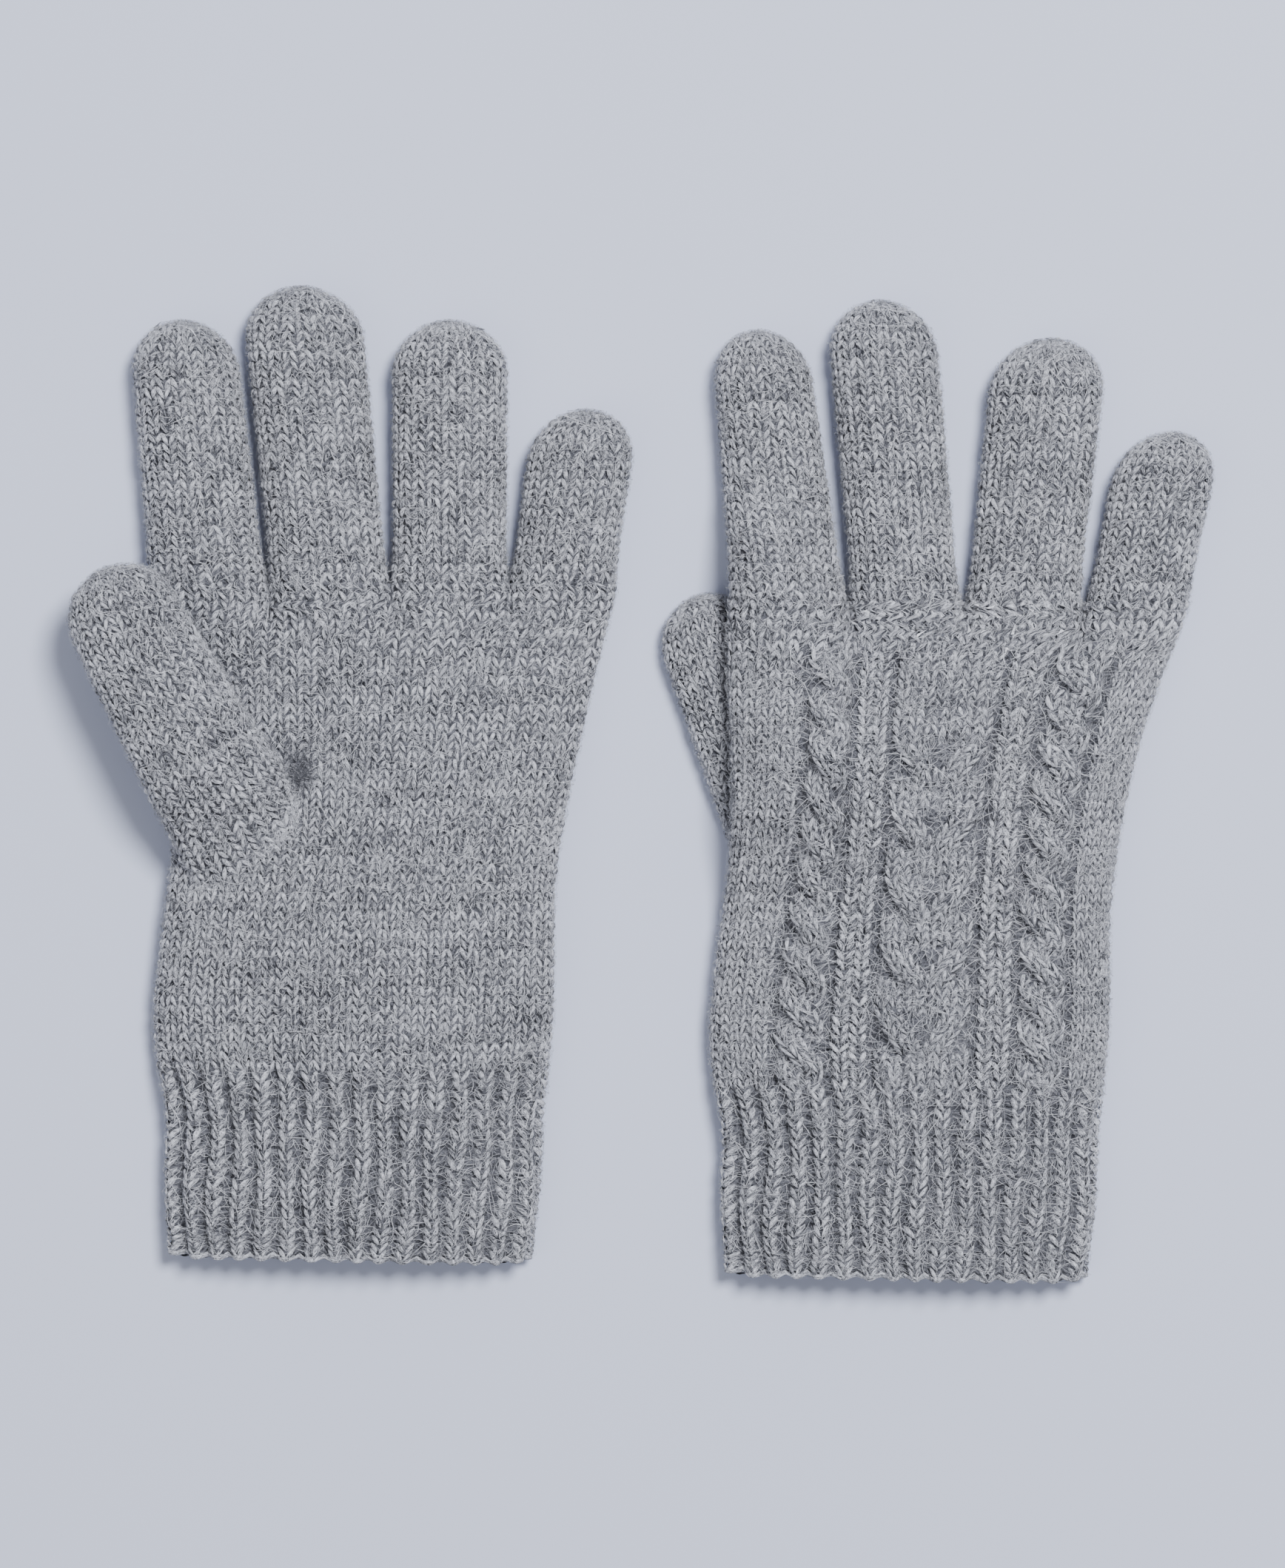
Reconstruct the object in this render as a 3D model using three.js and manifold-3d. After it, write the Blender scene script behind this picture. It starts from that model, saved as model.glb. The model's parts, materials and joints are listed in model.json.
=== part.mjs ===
// A pair of five-finger knitted gloves lying flat, side by side, fingers towards +Y.
// The left glove lies palm up with its thumb across the palm. The right glove lies palm down with
// its thumb tucked under the hand. Each glove is a ribbed cuff, a palm half, a back half, four
// finger tubes and a thumb, all hollow, and the finger tubes are in two lengths that meet at a joint.
// Millimetres, +Z up. The gloves lie on z = 0, and the origin is the middle of that footprint.
import * as THREE from "three";
import { mergeVertices } from "three/addons/utils/BufferGeometryUtils.js";
import Module from "manifold-3d";

const wasm = await Module();
wasm.setup();

// Driving dimensions.
const WALL = 2.2; // thickness of the knitted fabric
const GAP = 0.4; // clear space between pieces that touch
const THUMB_GAP = 0.6; // clear space between a thumb and the hand
const CUFF_TOP = 46; // from the hem to the top of the ribbing
const RIBS = 32; // ribs round the cuff
const RIB_DEPTH = 0.7;
const KNUCKLE = 161; // from the hem to where the finger tubes start
const SQUARENESS = 2.4; // exponent of the superellipse of every section, 2 for an ellipse
const UPPER_SHARE = 0.6; // share of a section's thickness above its widest line
const PRESS = 1.12; // how much the underside is pressed out flat by the surface
const CUFF_THICKNESS = 13.5;
const HAND_THICKNESS = 16;
const FINGER_THICKNESS = 13;
const TUBE_SIDES = 18; // facets round a finger
const HAND_SIDES = 31; // facets across one half of the hand

// Half outlines of the hand as [distance from the hem, x], on the thumb side and the little finger side.
const THUMB_SIDE = [[0, -42.6], [14, -43.6], [34, -43.2], [56, -46.6], [78, -44.8], [98, -42.2]];
const LITTLE_SIDE = [[0, 41.6], [14, 43.2], [34, 44.2], [54, 46.8], [93, 48.0], [125, 53.8]];

// Each finger: x of its foot, half widths at the foot and under the tip, lean to the right in degrees,
// length from the knuckle line to the tip, and how far up it the middle joint is.
const LEFT = {
  name: "left",
  hem: new THREE.Vector2(-68.3, 4.3),
  palmUp: true,
  footEdges: [-48.6, 62.4],
  fingers: {
    index: { foot: -34.3, halfFoot: 13.8, halfTip: 13.0, lean: -5.6, length: 61.5, joint: 29 },
    middle: { foot: -5.5, halfFoot: 13.9, halfTip: 14.3, lean: -5.6, length: 69.5, joint: 32 },
    ring: { foot: 23.0, halfFoot: 13.6, halfTip: 13.9, lean: 0.0, length: 61.5, joint: 29 },
    little: { foot: 49.6, halfFoot: 12.2, halfTip: 12.8, lean: 8.0, length: 40.5, joint: 19 },
  },
  thumb: { foot: new THREE.Vector2(-24.5, 101), halfFoot: 16.5, halfTip: 13.6, lean: -29.0, length: 71 },
  thumbJoint: 38,
};
const RIGHT = {
  name: "right",
  hem: new THREE.Vector2(62.9, 0),
  palmUp: false,
  footEdges: [-42.8, 66.4],
  fingers: {
    index: { foot: -28.3, halfFoot: 13.7, halfTip: 11.9, lean: -6.3, length: 63.5, joint: 30 },
    middle: { foot: -0.5, halfFoot: 12.8, halfTip: 13.1, lean: -5.0, length: 70.5, joint: 32 },
    ring: { foot: 27.2, halfFoot: 13.3, halfTip: 13.9, lean: 6.2, length: 61.5, joint: 29 },
    little: { foot: 54.3, halfFoot: 11.8, halfTip: 12.4, lean: 11.5, length: 39.5, joint: 18 },
  },
  thumb: { foot: new THREE.Vector2(-27.0, 101), halfFoot: 15.0, halfTip: 13.4, lean: -21.0, length: 65 },
};

const KNIT = { color: 0x9d9ea4, roughness: 0.95, metalness: 0 };
const rib = new THREE.MeshStandardMaterial(KNIT);
const plain = new THREE.MeshStandardMaterial(KNIT);
const cable = new THREE.MeshStandardMaterial(KNIT);

const smooth = (from, to, x) => THREE.MathUtils.smoothstep(x, from, to);
const fall = (from, to, x) => 1 - smooth(from, to, x);
const signedPower = (x, p) => Math.sign(x) * Math.abs(x) ** p;
const radians = THREE.MathUtils.degToRad;

// Catmull-Rom interpolation through [distance, value] pairs.
function along(pairs, y) {
  let i = 0;
  while (i < pairs.length - 2 && y > pairs[i + 1][0]) i += 1;
  const at = (k) => pairs[THREE.MathUtils.clamp(k, 0, pairs.length - 1)];
  const [[, before], [y0, a], [y1, b], [, after]] = [at(i - 1), at(i), at(i + 1), at(i + 2)];
  const t = THREE.MathUtils.clamp((y - y0) / (y1 - y0), 0, 1);
  const [leave, arrive] = [(b - before) / 2, (after - a) / 2];
  const cubic = leave + arrive - 2 * (b - a);
  return a + leave * t + (3 * (b - a) - 2 * leave - arrive) * t ** 2 + cubic * t ** 3;
}

// The thumb of the right glove lies under the hand, which drapes over it. TUCKED is its thickness, and the
// hand is lifted by that and a little more, beside the thumb's middle line and beyond its foot.
const TUCKED = 9.6;
function liftOf(glove, x, y) {
  if (glove.palmUp) return 0;
  const { foot, lean } = glove.thumb;
  const [sin, cos] = [Math.sin(radians(lean)), Math.cos(radians(lean))];
  const distance = (x - foot.x) * sin + (y - foot.y) * cos;
  const aside = (x - foot.x) * cos - (y - foot.y) * sin;
  return (TUCKED + THUMB_GAP) * fall(15, 34, aside) * smooth(-10, 20, distance) * fall(64, 96, distance);
}

// Towards the knuckles the hand's wide section sinks in between the fingers. This is the height that is
// left at x, as a share of the full height, if the hand were already four fingers side by side.
const VALLEY = 0.32; // least height left between two fingers
function fingerShare(glove, x, inset) {
  const shares = Object.values(glove.fingers).map((finger) => {
    const aside = Math.min(1, Math.abs(x - finger.foot) / (finger.halfFoot - inset + GAP));
    return (1 - aside ** SQUARENESS) ** (1 / SQUARENESS);
  });
  return Math.max(VALLEY, ...shares);
}

// One ring of points: a superellipse across a tube's axis, flattened below, and inset from the fabric's
// outside.
function ring(glove, station, inset, angles) {
  const lean = radians(station.lean);
  const [share, p] = [1 - UPPER_SHARE, 2 / SQUARENESS];
  return angles.map((angle, i) => {
    const depth = typeof inset === "function" ? inset(i) : inset;
    const across = (station.half - depth) * signedPower(Math.cos(angle), p);
    const x = station.x + across * Math.cos(lean);
    const y = station.y - across * Math.sin(lean);
    let swell = signedPower(Math.sin(angle), p);
    if (station.sink > 0) {
      const sunk = Math.sign(swell) * Math.min(Math.abs(swell), fingerShare(glove, x, depth));
      swell = THREE.MathUtils.lerp(swell, sunk, station.sink);
    }
    const up = (UPPER_SHARE * station.thickness - depth) * swell;
    const down = (share * station.thickness - depth) * Math.max(-1, PRESS * swell);
    const raised = station.raised ? liftOf(glove, x, y) : 0;
    const middle = station.floor + share * station.thickness;
    return new THREE.Vector3(x, y, middle + (swell > 0 ? up : down) + raised);
  });
}

const turn = (from, to, steps, closed) => Array.from({ length: closed ? steps : steps + 1 }, (_, i) => {
  return from + ((to - from) * i) / steps;
});
const TUBE_TURN = turn(0, 2 * Math.PI, TUBE_SIDES, true);
const HAND_TURN = turn(0, 2 * Math.PI, 2 * HAND_SIDES, true);
const RIB_TURN = turn(0, 2 * Math.PI, 2 * RIBS, true);

function closedGeometry(points, faces) {
  const volume = faces.reduce((sum, [a, b, c]) => {
    return sum + points[a].dot(new THREE.Vector3().crossVectors(points[b], points[c])) / 6;
  }, 0);
  const geometry = new THREE.BufferGeometry();
  geometry.setAttribute("position", new THREE.Float32BufferAttribute(points.flatMap((p) => p.toArray()), 3));
  geometry.setIndex(faces.flatMap(([a, b, c]) => (volume > 0 ? [a, b, c] : [a, c, b])));
  geometry.computeVertexNormals();
  return geometry;
}

const centre = (points) => {
  return points.reduce((sum, p) => sum.add(p), new THREE.Vector3()).divideScalar(points.length);
};

// The fabric between an outer and an inner list of rings. closed joins each ring's ends, and capped shuts
// the far end.
function shell(outer, inner, { closed, capped }) {
  const count = outer[0].length;
  const last = outer.length - 1;
  const steps = closed ? count : count - 1;
  const points = [...outer.flat(), ...inner.flat()];
  const out = (j, i) => j * count + (i % count);
  const into = (j, i) => (last + 1) * count + out(j, i);
  const faces = [];
  const quad = (a, b, c, d) => faces.push([a, b, c], [a, c, d]);
  for (let i = 0; i < steps; i += 1) {
    for (let j = 0; j < last; j += 1) {
      quad(out(j, i), out(j, i + 1), out(j + 1, i + 1), out(j + 1, i));
      quad(into(j, i), into(j + 1, i), into(j + 1, i + 1), into(j, i + 1));
    }
    quad(out(0, i + 1), out(0, i), into(0, i), into(0, i + 1));
    if (capped) {
      faces.push([out(last, i), out(last, i + 1), points.length]);
      faces.push([into(last, i + 1), into(last, i), points.length + 1]);
    } else {
      quad(out(last, i), out(last, i + 1), into(last, i + 1), into(last, i));
    }
  }
  for (let j = 0; j < last && !closed; j += 1) {
    quad(out(j, 0), out(j + 1, 0), into(j + 1, 0), into(j, 0));
    quad(out(j + 1, steps), out(j, steps), into(j, steps), into(j + 1, steps));
  }
  if (capped) points.push(centre(outer[last]), centre(inner[last]));
  return closedGeometry(points, faces);
}

// A solid through a list of closed rings, shut at both ends.
function plug(rings) {
  const count = rings[0].length;
  const last = rings.length - 1;
  const points = [...rings.flat(), centre(rings[0]), centre(rings[last])];
  const at = (j, i) => j * count + (i % count);
  const faces = [];
  for (let i = 0; i < count; i += 1) {
    for (let j = 0; j < last; j += 1) {
      faces.push([at(j, i), at(j, i + 1), at(j + 1, i + 1)], [at(j, i), at(j + 1, i + 1), at(j + 1, i)]);
    }
    faces.push([at(0, i + 1), at(0, i), points.length - 2]);
    faces.push([at(last, i), at(last, i + 1), points.length - 1]);
  }
  return closedGeometry(points, faces);
}

function toSolid(geometry) {
  const bare = geometry.clone();
  bare.deleteAttribute("normal");
  const merged = mergeVertices(bare, 1e-3);
  const vertProperties = merged.attributes.position.array;
  const triVerts = new Uint32Array(merged.index.array);
  return new wasm.Manifold(new wasm.Mesh({ numProp: 3, vertProperties, triVerts }));
}

function cut(geometry, tool) {
  const mesh = toSolid(geometry).subtract(toSolid(tool)).getMesh();
  const left = new THREE.BufferGeometry();
  left.setAttribute("position", new THREE.BufferAttribute(mesh.vertProperties, 3));
  left.setIndex(new THREE.BufferAttribute(mesh.triVerts, 1));
  left.computeVertexNormals();
  return left;
}

// The hand and cuff are one flattened tube whose outline follows the two side lists.
function handStation(glove, y) {
  const [thumbFoot, littleFoot] = glove.footEdges;
  const left = along([...THUMB_SIDE, [KNUCKLE, thumbFoot]], y);
  const right = along([...LITTLE_SIDE, [KNUCKLE, littleFoot]], y);
  const cuffToHand = THREE.MathUtils.lerp(CUFF_THICKNESS, HAND_THICKNESS, smooth(40, 80, y));
  const thickness = THREE.MathUtils.lerp(cuffToHand, FINGER_THICKNESS, smooth(115, KNUCKLE, y));
  const sink = smooth(KNUCKLE - 16, KNUCKLE, y);
  const [x, half] = [(left + right) / 2, (right - left) / 2];
  return { x, y, half, lean: 0, floor: 0, thickness, sink, raised: true };
}

const CUFF_ROWS = [0, 12, 26, CUFF_TOP - GAP];
const HAND_ROWS = [CUFF_TOP, 60, 78, 92, 103, 114, 125, 136, 146, 153.5, KNUCKLE - GAP];

function cuff(glove) {
  const ribbed = (depth) => (i) => depth + (i % 2) * RIB_DEPTH;
  const rings = (depth) => CUFF_ROWS.map((y) => ring(glove, handStation(glove, y), ribbed(depth), RIB_TURN));
  return shell(rings(0), rings(WALL), { closed: true, capped: false });
}

function half(glove, upper) {
  const slit = 0.015; // left open at each side, where the two halves of the hand meet, in radians
  const from = (upper ? 0 : Math.PI) + slit;
  const angles = turn(from, from + Math.PI - 2 * slit, HAND_SIDES, false);
  const rings = (inset) => HAND_ROWS.map((y) => ring(glove, handStation(glove, y), inset, angles));
  return shell(rings(0), rings(WALL), { closed: false, capped: false });
}

// The section of a finger or thumb at a distance from its foot. It narrows over the last stretch.
const TIP_STRETCH = 13;
const TIP_END = 0.5; // half width of the blunt end as a share of the tube's own
function tubeStation(tube, distance) {
  const lean = radians(tube.lean);
  const grow = THREE.MathUtils.clamp(distance / (tube.length - TIP_STRETCH), 0, 1);
  const into = THREE.MathUtils.clamp((distance - tube.length + TIP_STRETCH) / TIP_STRETCH, 0, 1);
  const narrow = Math.sqrt(1 - into * into * (1 - TIP_END * TIP_END));
  const thickness = tube.thickness * (1 - 0.4 * into ** 3);
  return {
    x: tube.foot.x + distance * (tube.square ? Math.tan(lean) : Math.sin(lean)),
    y: tube.foot.y + distance * (tube.square ? 1 : Math.cos(lean)),
    half: THREE.MathUtils.lerp(tube.halfFoot, tube.halfTip, grow) * narrow,
    lean: tube.square ? 0 : tube.lean,
    floor: tube.floorAt(distance) + (tube.thickness - thickness) * (1 - UPPER_SHARE),
    thickness,
    raised: tube.raised,
  };
}

// One length of a tube. The inside of the tip stops one wall short of the outside.
function tubeLength(glove, tube, from, to) {
  const capped = to >= tube.length;
  const body = turn(from, capped ? to - TIP_STRETCH : to, tube.steps, false);
  const tip = capped ? [to - 8.5, to - 4.5, to - 1.8, to] : [];
  const rings = (inset) => [...body, ...tip].map((distance, j) => {
    const back = capped && j > 0 ? inset : 0;
    return ring(glove, tubeStation(tube, distance - back), inset, TUBE_TURN);
  });
  return shell(rings(0), rings(WALL), { closed: true, capped });
}

// The fingers' sections all face along y, so that both sides of each joint lie in one plane.
function fingerTube(finger) {
  const foot = new THREE.Vector2(finger.foot, KNUCKLE);
  const shape = { square: true, thickness: FINGER_THICKNESS, floorAt: () => 0, raised: true, steps: 3 };
  return { ...finger, foot, ...shape };
}

// The left thumb rises out of the palm and lies on top of the hand. The right thumb lies on the surface.
function thumbTube(glove) {
  const top = HAND_THICKNESS + THUMB_GAP;
  const onTop = (d) => top - 13 * fall(-8, 26, d) - 4 * smooth(44, glove.thumb.length, d);
  const shape = glove.palmUp ? { thickness: 12, floorAt: onTop } : { thickness: TUCKED, floorAt: () => 0 };
  return { ...glove.thumb, ...shape, square: false, raised: false, steps: 5 };
}

// The outside of the hand and of the index finger's foot, a little larger, which the thumb is cut back to.
function handEnvelope(glove) {
  const rows = [...HAND_ROWS.slice(0, -2), KNUCKLE, KNUCKLE + 14];
  return plug(rows.map((y) => ring(glove, { ...handStation(glove, y), sink: 0 }, -THUMB_GAP, HAND_TURN)));
}

function thumbHole(glove) {
  const tube = thumbTube(glove);
  return plug([0, 8, 16, 24].map((d) => ring(glove, tubeStation(tube, d), WALL + 1, TUBE_TURN)));
}

function gloveGroup(glove) {
  const group = new THREE.Group();
  group.position.set(glove.hem.x, glove.hem.y, 0);
  const add = (name, geometry, material) => {
    const mesh = new THREE.Mesh(geometry, material.clone());
    mesh.name = `${glove.name}_${name}`;
    group.add(mesh);
  };
  add("cuff", cuff(glove), rib);
  add("palm", cut(half(glove, glove.palmUp), thumbHole(glove)), plain);
  add("back", half(glove, !glove.palmUp), cable);
  for (const [name, finger] of Object.entries(glove.fingers)) {
    const tube = fingerTube(finger);
    add(`${name}_base`, tubeLength(glove, tube, 0, tube.joint - GAP / 2), plain);
    add(`${name}_tip`, tubeLength(glove, tube, tube.joint + GAP / 2, tube.length), plain);
  }
  const tube = thumbTube(glove);
  const joint = glove.thumbJoint;
  const lengths = joint ? [[-4, joint - GAP / 2, "thumb_base"], [joint + GAP / 2, tube.length, "thumb_tip"]]
    : [[-4, tube.length, "thumb"]];
  for (const [from, to, name] of lengths) {
    add(name, cut(tubeLength(glove, tube, from, to), handEnvelope(glove)), plain);
  }
  return group;
}

const pair = new THREE.Group();
pair.add(gloveGroup(LEFT), gloveGroup(RIGHT));
const bounds = new THREE.Box3().setFromObject(pair);
const middle = bounds.getCenter(new THREE.Vector3());
pair.position.set(-middle.x, -middle.y, -bounds.min.z);

export default pair;
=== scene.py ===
import json
import math
import bpy
import numpy as np
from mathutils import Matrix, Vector

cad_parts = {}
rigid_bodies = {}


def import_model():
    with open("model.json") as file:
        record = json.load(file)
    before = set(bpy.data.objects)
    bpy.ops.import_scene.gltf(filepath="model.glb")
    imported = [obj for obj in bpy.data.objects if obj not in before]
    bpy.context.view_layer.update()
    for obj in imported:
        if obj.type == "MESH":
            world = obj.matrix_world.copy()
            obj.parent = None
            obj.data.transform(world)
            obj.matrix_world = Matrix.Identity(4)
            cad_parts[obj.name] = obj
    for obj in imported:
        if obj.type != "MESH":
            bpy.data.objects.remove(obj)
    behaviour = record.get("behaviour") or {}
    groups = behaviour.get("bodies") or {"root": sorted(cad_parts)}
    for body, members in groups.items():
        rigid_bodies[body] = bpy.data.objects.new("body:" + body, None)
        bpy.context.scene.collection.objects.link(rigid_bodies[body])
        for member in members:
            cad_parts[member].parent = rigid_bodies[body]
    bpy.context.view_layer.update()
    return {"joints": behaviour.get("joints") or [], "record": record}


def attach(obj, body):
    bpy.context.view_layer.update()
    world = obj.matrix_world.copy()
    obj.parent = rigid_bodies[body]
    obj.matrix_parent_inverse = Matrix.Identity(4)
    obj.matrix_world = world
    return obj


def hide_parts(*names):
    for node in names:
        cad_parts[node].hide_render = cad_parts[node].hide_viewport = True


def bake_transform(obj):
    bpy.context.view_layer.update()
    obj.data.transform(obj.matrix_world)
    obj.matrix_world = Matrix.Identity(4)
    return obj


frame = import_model()
rng = np.random.default_rng(7)

# ---------------------------------------------------------------------------------------------
# Cuffs: one by one rib, 32 ribs round, knitted like the rest from a soft two-ply yarn spun from
# light and dark grey wool. The knit columns stand out as round ribs, the purl columns lie deep
# between them in a darker yarn that paints their shade, and the looped cast-on edge rolls under.
# ---------------------------------------------------------------------------------------------
MM = 0.001
CUFF_TOP = 46    # from the hem to the top of the ribbing, mm
KNUCKLE = 161    # from the hem to the foot of the fingers, mm

# outlines as (distance from the hem, x), on the thumb's side and the little finger's side, mm
THUMB_SIDE = [(0, -42.6), (14, -43.6), (34, -43.2), (56, -46.6), (78, -44.8), (98, -42.2)]
LITTLE_SIDE = [(0, 41.6), (14, 43.2), (34, 44.2), (54, 46.8), (93, 48.0), (125, 53.8)]
FOOT = {"left": (-48.6, 62.4), "right": (-42.8, 66.4)}
# foot x, half width at the foot and under the tip, lean in degrees, length and middle joint, mm
FINGERS = {
    "left": {"index": (-34.3, 13.8, 13.0, -5.6, 61.5, 29), "middle": (-5.5, 13.9, 14.3, -5.6, 69.5, 32),
             "ring": (23.0, 13.6, 13.9, 0.0, 61.5, 29), "little": (49.6, 12.2, 12.8, 8.0, 40.5, 19)},
    "right": {"index": (-28.3, 13.7, 11.9, -6.3, 63.5, 30), "middle": (-0.5, 12.8, 13.1, -5.0, 70.5, 32),
              "ring": (27.2, 13.3, 13.9, 6.2, 61.5, 29), "little": (54.3, 11.8, 12.4, 11.5, 39.5, 18)},
}
# foot, half width at the foot and under the tip, lean, length and middle joint, in the same units
THUMBS = {
    "left": ((-24.5, 101), 16.5, 13.6, -29.0, 71, 38),
    "right": ((-27.0, 101), 13.8, 12.4, -21.0, 65, 65),
}
# the middle of each hem, worked out from the mount under its glove, mm
HEM = {mount["name"].split("_")[0]: np.array(mount["pos_m"][:2]) / MM for mount in frame["record"]["mounts"]}
HEM["left"] -= (2, 80)
HEM["right"] -= (18, 80)


def smooth(low, high, x):
    """3 t^2 - 2 t^3, where t runs from 0 at low to 1 at high."""
    t = np.clip((x - low) / (high - low), 0, 1)
    return t * t * (3 - 2 * t)


def curve(points, x):
    """A smooth line through (x, value) points: a cubic between each two, which leaves each point at the mean
    of the slopes on its two sides."""
    px, pv = np.array(points, float).T
    slope = np.gradient(pv, px)
    i = np.clip(np.searchsorted(px, x, side="right") - 1, 0, len(px) - 2)
    step = px[i + 1] - px[i]
    t = np.clip((x - px[i]) / step, 0, 1)
    rise = pv[i + 1] - pv[i]
    leave, arrive = slope[i] * step, slope[i + 1] * step
    return pv[i] + t * leave + t**2 * (3 * rise - 2 * leave - arrive) + t**3 * (leave + arrive - 2 * rise)


def spow(x, p):
    """The pth power of x's size, with x's sign."""
    return np.sign(x) * np.abs(x) ** p


SQUARE = 2.4     # how square a flat tube of knitting is across: 2 is an ellipse
ABOVE = 0.6      # the share of its thickness that is above its widest line
BELOW = 1 - ABOVE
FLAT = 1.12      # how far it would sag through the surface under it, as a share of the part below


def sections(x, y, half, floor, thick, lean, angles):
    """Superellipse sections, one row each: half cos^p(angle) across, and ABOVE or BELOW times thick
    sin^p(angle) up, with the underside pressed flat. All but angles are one value for each row, in mm, and
    lean is in radians."""
    p = 2 / SQUARE
    values = (x, y, half, floor, thick, lean)
    x, y, half, floor, thick, lean = (np.broadcast_to(v, np.shape(y))[:, None] for v in values)
    across = half * spow(np.cos(angles), p)[None, :]
    swell = spow(np.sin(angles), p)[None, :]
    up = np.where(swell > 0, ABOVE * swell, BELOW * np.maximum(-1, FLAT * swell)) * thick
    z = floor + BELOW * thick + up
    return np.stack([x + across * np.cos(lean), y - across * np.sin(lean), z], axis=-1)


class Cloth:
    """A fine grid of points on the face of the cloth, whose rows follow one another along the wales. share
    is how far across each point is, as a share of its row, and length how far along each row is, in mm."""

    def __init__(self, grid, share=None, length=None, closed=False):
        rows, cols = grid.shape[:2]
        self.grid = grid
        self.closed = closed
        gap = np.linalg.norm(np.diff(grid, axis=1), axis=-1)
        arc = np.concatenate([np.zeros((rows, 1)), np.cumsum(gap, axis=1)], axis=1)
        self.girth = arc[:, -1]
        self.share = arc / np.maximum(arc[:, -1:], 1e-9) if share is None else share
        if length is None:
            gap = np.linalg.norm(np.diff(grid, axis=0), axis=-1)
            length = np.concatenate([[0], np.cumsum(np.quantile(gap, 0.6, axis=1))])
        self.length = length
        normal = np.cross(np.gradient(grid, axis=1), np.gradient(grid, axis=0))
        self.normal = normal / np.maximum(np.linalg.norm(normal, axis=-1, keepdims=True), 1e-9)

    def at(self, a, s, h):
        """The points a share a of the way across, s mm along the wales and h mm out from the face."""
        if self.closed:
            a = a % 1.0
        rows, cols = self.grid.shape[:2]
        v = np.clip(np.interp(s, self.length, np.arange(rows)), 0, rows - 1.001)
        i = v.astype(int)
        near = np.rint(v).astype(int)
        u = np.empty_like(v)
        for row in np.unique(near):
            pick = near == row
            u[pick] = np.interp(a[pick], self.share[row], np.arange(cols))
        u = np.clip(u, 0, cols - 1.001)
        j = u.astype(int)
        fv, fu = (v - i)[..., None], (u - j)[..., None]

        def mix(g):
            this_row = g[i, j] * (1 - fu) + g[i, j + 1] * fu
            next_row = g[i + 1, j] * (1 - fu) + g[i + 1, j + 1] * fu
            return this_row * (1 - fv) + next_row * fv

        return mix(self.grid) + mix(self.normal) * h[..., None]

    def around(self, s):
        """The girth s mm along."""
        return np.interp(s, self.length, self.girth)

    def across(self, f, s):
        """The share at which the cloth is a part f of the way from its lowest x to its highest."""
        f, s = np.broadcast_arrays(f, s)
        row = np.rint(np.interp(s, self.length, np.arange(len(self.length)))).astype(int)
        out = np.empty(f.shape)
        for r in np.unique(row):
            x = self.grid[r, :, 0]
            order = np.argsort(x)
            pick = row == r
            out[pick] = np.interp(x.min() + f[pick] * np.ptp(x), x[order], self.share[r][order])
        return out


DRAPE = 10  # how far the tucked thumb raises the right glove, mm


def drape(glove, grid):
    """Raises the right glove over its tucked thumb by DRAPE along the thumb's middle line, easing off
    beside it and towards its ends."""
    if glove == "right":
        (fx, fy), _, _, lean, _, _ = THUMBS[glove]
        sin, cos = math.sin(math.radians(lean)), math.cos(math.radians(lean))
        x, y = grid[..., 0] - fx, grid[..., 1] - fy
        on = x * sin + y * cos
        aside = x * cos - y * sin
        grid[..., 2] += DRAPE * (1 - smooth(15, 34, aside)) * smooth(-10, 20, on) * (1 - smooth(64, 96, on))
    return grid


CUFF_THICK, PALM_THICK, FINGER_THICK = 13.5, 16.0, 13.0  # lying flat and empty, mm
SINKING = 16     # the length over which the hand parts into fingers, mm


def hand_cloth(glove, y, angles, closed=False):
    """The hand's sections at lengths y from the hem. Towards the knuckles the one wide section sinks between
    the fingers, until it has the fingers' own sections side by side."""
    left = curve(THUMB_SIDE + [(KNUCKLE, FOOT[glove][0])], y)
    right = curve(LITTLE_SIDE + [(KNUCKLE, FOOT[glove][1])], y)
    thick = CUFF_THICK + (PALM_THICK - CUFF_THICK) * smooth(40, 80, y)
    thick = thick + (FINGER_THICK - thick) * smooth(115, KNUCKLE, y)
    grid = sections((left + right) / 2, y, (right - left) / 2, 0, thick, 0, angles)
    middle = BELOW * thick[:, None]
    height = grid[..., 2] - middle
    full = np.zeros(grid.shape[:2])  # the fingers' own height, as a share of the most
    for foot, half, _, lean, _, _ in FINGERS[glove].values():
        axis = foot + (y[:, None] - KNUCKLE) * math.tan(math.radians(lean))
        aside = np.abs(grid[..., 0] - axis) / (half + 0.5)
        full = np.maximum(full, np.clip(1 - aside**SQUARE, 0, 1) ** (1 / SQUARE))
    sink = smooth(KNUCKLE - SINKING, KNUCKLE, y)[:, None]
    sunk = np.where(height > 0, ABOVE * full, -BELOW * np.minimum(1, FLAT * full)) * thick[:, None]
    grid[..., 2] = middle + height * (1 - sink) + sunk * sink
    share = Cloth(grid).share
    grid = drape(glove, grid)
    grid[..., :2] += HEM[glove]
    return Cloth(grid, share=share, length=y, closed=closed)


WALE = 3.3       # usual width of a stitch, mm
COURSE = 2.2     # usual height of a stitch, mm


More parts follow.
